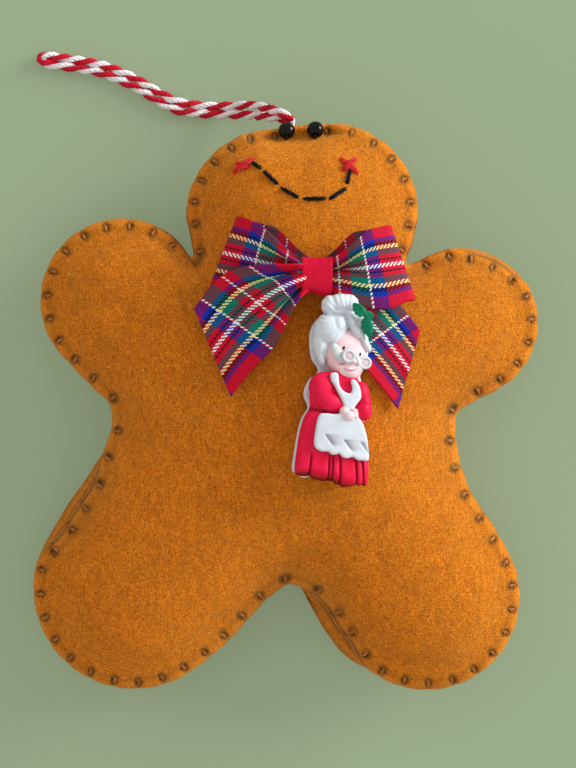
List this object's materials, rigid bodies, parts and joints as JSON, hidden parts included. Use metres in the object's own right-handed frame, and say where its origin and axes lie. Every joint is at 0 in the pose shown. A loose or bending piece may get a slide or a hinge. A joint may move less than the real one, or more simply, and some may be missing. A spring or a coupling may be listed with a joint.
{
  "type": "felt christmas ornament",
  "caption": "Stuffed felt gingerbread figure ornament with blanket-stitched edge, bead eyes, sewn smile, tartan bow, push-in doll charm and a twisted cord hanging loop.",
  "frame": {"origin": "on the resting plane, under the middle of the figure (the loose cord left out)", "axes": "+X to the viewer's right of the face, +Y towards the top of the head, +Z out of the front; the figure lies on its back"},
  "size_m": [0.0972, 0.1236, 0.0327],
  "materials": {
    "felt": "gingerbread-brown craft felt",
    "brown_thread": "brown stranded thread",
    "fibrefill": "white polyester fibrefill",
    "black_floss": "black stranded floss",
    "red_floss": "red stranded floss",
    "tartan": "woven tartan ribbon in red, blue, green and white",
    "satin": "red satin ribbon",
    "twine": "red and white twisted twine",
    "bead": "glossy black",
    "charm_black": "soft black plastic",
    "charm_white": "soft white moulded plastic",
    "charm_red": "soft red moulded plastic",
    "charm_skin": "soft pale pink moulded plastic",
    "charm_green": "soft green moulded plastic",
    "charm_wire": "soft pale moulded plastic"
  },
  "bodies": {
    "felt_body": {"front_panel": "felt", "back_panel": "felt", "edge_stitching": "brown_thread", "stuffing_torso": "fibrefill", "stuffing_head": "fibrefill", "stuffing_left_arm": "fibrefill", "stuffing_right_arm": "fibrefill", "stuffing_left_leg": "fibrefill", "stuffing_right_leg": "fibrefill", "hanger_knot": "twine", "eye_thread_left": "black_floss", "eye_thread_right": "black_floss", "mouth_stitch_1": "black_floss", "mouth_stitch_2": "black_floss", "mouth_stitch_3": "black_floss", "mouth_stitch_4": "black_floss", "mouth_stitch_5": "black_floss", "mouth_stitch_6": "black_floss", "left_cheek_under_stitch": "red_floss", "left_cheek_over_stitch": "red_floss", "right_cheek_under_stitch": "red_floss", "right_cheek_over_stitch": "red_floss", "bow_left_loop": "tartan", "bow_right_loop": "tartan", "bow_left_tail": "tartan", "bow_right_tail": "tartan", "bow_band": "satin"},
    "hanger": {"hanger_loop": "twine"},
    "eye_left": {"eye_bead_left": "bead"},
    "eye_right": {"eye_bead_right": "bead"},
    "charm": {"charm_plug": "charm_black", "charm_backing": "charm_white", "charm_dress": "charm_red", "charm_apron": "charm_white", "charm_left_sleeve": "charm_red", "charm_right_sleeve": "charm_red", "charm_hands": "charm_skin", "charm_face": "charm_skin", "charm_hair": "charm_white", "charm_holly": "charm_green", "charm_spectacles": "charm_wire"}
  },
  "joints": [
    {"name": "hanger_swing", "type": "hinge", "parent": "felt_body", "child": "hanger", "pos_m": [0.00085, 0.05475, 0.01115], "axis": [0, 0, 1], "range_deg": [-120, 10]},
    {"name": "eye_left_spin", "type": "hinge", "parent": "felt_body", "child": "eye_left", "pos_m": [0.0002, 0.0521, 0.01439], "axis": [0, 0.6969, -0.7172], "continuous": true},
    {"name": "eye_right_spin", "type": "hinge", "parent": "felt_body", "child": "eye_right", "pos_m": [0.0056, 0.05227, 0.01434], "axis": [0, 0.7092, -0.705], "continuous": true},
    {"name": "charm_swivel", "type": "hinge", "parent": "felt_body", "child": "charm", "pos_m": [0.00915, 0.00137, 0.0238], "axis": [0.1171, 0.0114, 0.9931], "range_deg": [-10, 8]}
  ]
}
